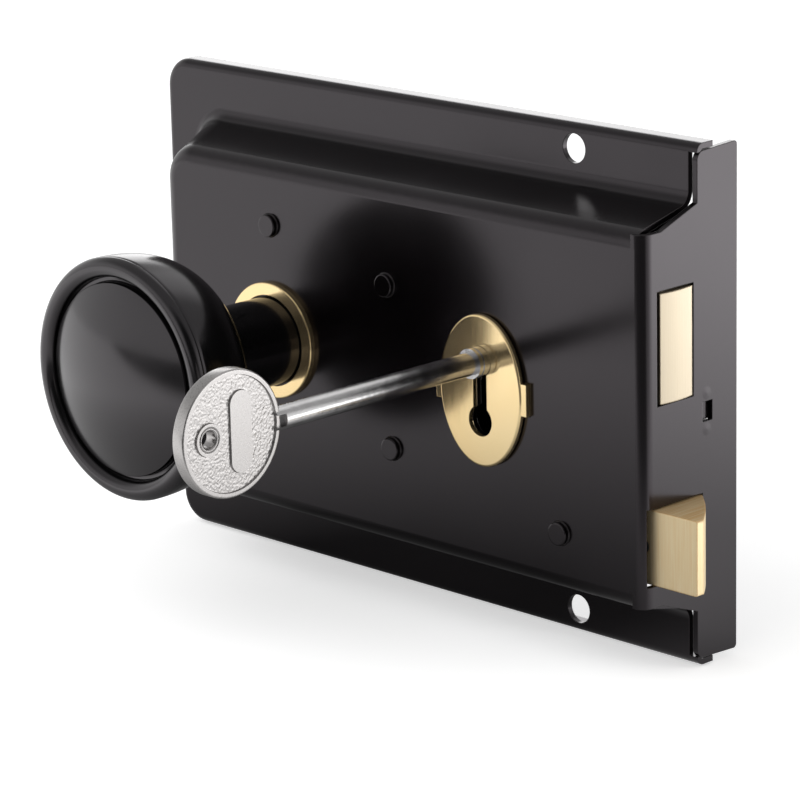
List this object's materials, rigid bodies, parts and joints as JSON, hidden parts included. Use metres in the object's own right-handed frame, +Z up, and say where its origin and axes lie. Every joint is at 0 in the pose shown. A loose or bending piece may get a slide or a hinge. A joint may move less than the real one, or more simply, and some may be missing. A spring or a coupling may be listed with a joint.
{
  "type": "rim lock",
  "caption": "Surface-mounted door lock in a pressed black case, with a sprung latch worked by a knob and a dead bolt worked by a lever key.",
  "frame": {"origin": "where the axis of the spindle crosses the face of the door that the lock is screwed to", "axes": "+X towards the edge of the door and out of the forend, -Y into the room and out of the knob, +Z up"},
  "size_m": [0.162, 0.1467, 0.1042],
  "materials": {
    "case_lacquer": "gloss black baked lacquer on steel",
    "knob_black": "deep gloss black moulding",
    "neck_lacquer": "deep gloss black lacquer",
    "polished_brass": "polished and lacquered",
    "satin_brass": "satin",
    "lever_brass": "blanked, unpolished",
    "plain_steel": "blanked mild steel",
    "bright_steel": "bright drawn",
    "dark_steel": "blackened",
    "spring_steel": "oiled spring wire and strip",
    "key_chrome": "bright plated",
    "bow_silver": "satin nickel plated"
  },
  "bodies": {
    "case": {"case_cover": "case_lacquer", "back_plate": "case_lacquer", "back_plate_screw": "bright_steel", "plate_pillar": "case_lacquer", "bolt_pillar": "case_lacquer", "guide_rivet": "case_lacquer", "latch_pillar": "case_lacquer", "latch_guide": "plain_steel", "key_ward": "plain_steel", "rose": "polished_brass", "escutcheon": "polished_brass", "lever_collar": "plain_steel", "latch_spring": "spring_steel"},
    "knob_set": {"knob": "knob_black", "knob_neck": "neck_lacquer", "grub_screw": "dark_steel", "spindle": "bright_steel", "follower": "plain_steel"},
    "latch": {"latch_head": "satin_brass", "latch_tail": "plain_steel", "latch_rivet": "plain_steel"},
    "deadbolt": {"deadbolt_head": "satin_brass", "deadbolt_tail": "plain_steel", "deadbolt_rivets": "plain_steel", "bolt_stump": "plain_steel"},
    "first_lever": {"lever_1": "lever_brass", "lever_spring_1": "spring_steel"},
    "second_lever": {"lever_2": "lever_brass", "lever_spring_2": "spring_steel"},
    "key": {"key_bow": "bow_silver", "key_shank": "key_chrome", "key_bit": "key_chrome"}
  },
  "joints": [
    {"name": "knob_turn", "type": "hinge", "parent": "case", "child": "knob_set", "pos_m": [0, 0, 0], "axis": [0, 1, 0], "range_deg": [0, 45]},
    {"name": "latch_slide", "type": "slide", "parent": "case", "child": "latch", "axis": [1, 0, 0], "range_m": [-0.011, 0], "stiffness_N_per_m": 250, "springref_m": 0.012, "deforming": ["latch_spring"]},
    {"name": "deadbolt_slide", "type": "slide", "parent": "case", "child": "deadbolt", "axis": [1, 0, 0], "range_m": [0, 0.012]},
    {"name": "first_lever_lift", "type": "hinge", "parent": "case", "child": "first_lever", "pos_m": [0.0336, -0.008, 0.0169], "axis": [0, 1, 0], "range_deg": [0, 6]},
    {"name": "second_lever_lift", "type": "hinge", "parent": "case", "child": "second_lever", "pos_m": [0.0336, -0.0059, 0.0169], "axis": [0, 1, 0], "range_deg": [0, 6]},
    {"name": "key_turn", "type": "hinge", "parent": "case", "child": "key", "pos_m": [0.0607, -0.02, 0.006], "axis": [0, 1, 0], "range_deg": [-90, 90]}
  ],
  "couplings": [
    {"joint": "knob_turn", "follows": "latch_slide", "rad_per_m": -71.39}
  ]
}
